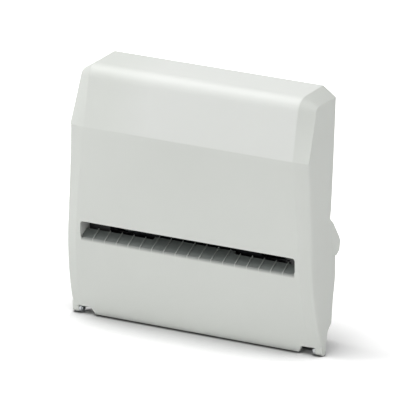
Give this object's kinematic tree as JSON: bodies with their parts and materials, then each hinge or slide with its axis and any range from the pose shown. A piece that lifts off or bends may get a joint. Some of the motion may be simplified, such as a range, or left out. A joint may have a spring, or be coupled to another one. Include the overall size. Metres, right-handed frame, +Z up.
{
  "type": "thermal transfer label printer",
  "caption": "Slim upright label printer with a hinged front cover, a ribbed label slot, and a platen, print head, ribbon spools and gear drive inside.",
  "frame": {"origin": "middle of the footprint, on the table", "axes": "+X to the right seen from the front, -Y out of the front cover, +Z up"},
  "size_m": [0.2418, 0.06, 0.2172],
  "materials": {
    "cover_abs": "light grey moulded ABS with a fine spark texture",
    "housing_abs": "light grey moulded ABS",
    "zinc_steel": "zinc plated sheet steel",
    "chute_grey": "dark grey moulded plastic",
    "black_steel": "black dip-coated sheet steel",
    "foot_rubber": "soft black rubber",
    "pin_steel": "ground steel",
    "bush_acetal": "black acetal",
    "belt_rubber": "black neoprene",
    "blade_steel": "spring steel blade",
    "motor_black": "black coated motor case",
    "board_green": "glass fibre board with green solder mask",
    "black_plastic": "black moulded plastic",
    "magnet_grey": "sintered magnet",
    "platen_rubber": "ground black platen rubber",
    "gear_acetal": "black acetal",
    "core_card": "wound card tube",
    "ribbon_black": "wax-resin transfer film",
    "head_aluminium": "extruded aluminium with a glazed strip",
    "spring_steel": "spring steel strip",
    "lever_green": "green moulded finger lever",
    "guide_plastic": "dark grey moulded plastic"
  },
  "bodies": {
    "chassis": {"back_housing": "housing_abs", "left_side_plate": "black_steel", "right_side_plate": "black_steel", "base_plate": "zinc_steel", "top_brace": "black_steel", "rubber_feet": "foot_rubber", "hinge_pins": "pin_steel", "platen_bushes": "bush_acetal", "drive_belt": "belt_rubber", "head_pivot_shaft": "pin_steel", "ribbon_rod": "pin_steel", "light_shield": "black_steel", "tear_bar": "blade_steel", "label_table": "black_steel", "stepper_motor": "motor_black", "idler_axle": "pin_steel", "controller_board": "board_green", "board_posts": "bush_acetal", "usb_port": "pin_steel", "power_inlet": "black_plastic", "rocker_frame": "black_plastic", "catch_magnets": "magnet_grey", "motor_screws": "pin_steel"},
    "cover": {"front_cover": "cover_abs", "slot_chute": "chute_grey", "catch_plates": "zinc_steel"},
    "platen": {"platen_shaft": "pin_steel", "platen_rubber": "platen_rubber", "platen_gear": "gear_acetal", "platen_pulley": "gear_acetal"},
    "rotor": {"motor_pinion": "gear_acetal"},
    "idler": {"idler_gear": "gear_acetal"},
    "takeup": {"takeup_spindle": "black_plastic", "takeup_core": "core_card", "takeup_ribbon": "ribbon_black", "takeup_pulley": "gear_acetal"},
    "supply": {"supply_spindle": "black_plastic", "supply_core": "core_card", "supply_ribbon": "ribbon_black"},
    "head": {"head_bracket": "black_steel", "print_head": "head_aluminium", "pressure_springs": "spring_steel"},
    "lever": {"head_lever": "lever_green"},
    "right_guide": {"right_edge_guide": "guide_plastic"},
    "left_guide": {"left_edge_guide": "guide_plastic"},
    "switch": {"power_rocker": "black_plastic"}
  },
  "joints": [
    {"name": "cover_hinge", "type": "hinge", "parent": "chassis", "child": "cover", "pos_m": [0, -0.0127, 0.0035], "axis": [1, 0, 0], "range_deg": [0, 70]},
    {"name": "platen_spin", "type": "hinge", "parent": "chassis", "child": "platen", "pos_m": [0, -0.004, 0.076], "axis": [1, 0, 0], "continuous": true},
    {"name": "motor_spin", "type": "hinge", "parent": "chassis", "child": "rotor", "pos_m": [0, 0.00308, 0.03263], "axis": [1, 0, 0], "continuous": true},
    {"name": "idler_spin", "type": "hinge", "parent": "chassis", "child": "idler", "pos_m": [0, 0.00099, 0.05252], "axis": [1, 0, 0], "continuous": true},
    {"name": "takeup_spin", "type": "hinge", "parent": "chassis", "child": "takeup", "pos_m": [0, 0.003, 0.14], "axis": [1, 0, 0], "continuous": true},
    {"name": "supply_spin", "type": "hinge", "parent": "chassis", "child": "supply", "pos_m": [0, 0.002, 0.182], "axis": [1, 0, 0], "continuous": true},
    {"name": "head_lever_turn", "type": "hinge", "parent": "chassis", "child": "lever", "pos_m": [0, 0, 0.109], "axis": [1, 0, 0], "range_deg": [0, 90]},
    {"name": "head_lift", "type": "hinge", "parent": "chassis", "child": "head", "pos_m": [0, 0.02, 0.099], "axis": [1, 0, 0], "range_deg": [-5, 0]},
    {"name": "right_guide_slide", "type": "slide", "parent": "chassis", "child": "right_guide", "axis": [-1, 0, 0], "range_m": [0, 0.035]},
    {"name": "left_guide_slide", "type": "slide", "parent": "chassis", "child": "left_guide", "axis": [1, 0, 0], "range_m": [0, 0.035]},
    {"name": "power_switch_rock", "type": "hinge", "parent": "chassis", "child": "switch", "pos_m": [-0.038, 0.0272, 0.024], "axis": [1, 0, 0], "range_deg": [-16, 0]}
  ],
  "couplings": [
    {"joint": "motor_spin", "follows": "platen_spin", "ratio": 1.5},
    {"joint": "idler_spin", "follows": "platen_spin", "ratio": -1},
    {"joint": "takeup_spin", "follows": "platen_spin", "ratio": 1},
    {"joint": "supply_spin", "follows": "platen_spin", "ratio": 0.6667},
    {"joint": "head_lift", "follows": "head_lever_turn", "ratio": -0.055556},
    {"joint": "left_guide_slide", "follows": "right_guide_slide", "ratio": 1}
  ]
}
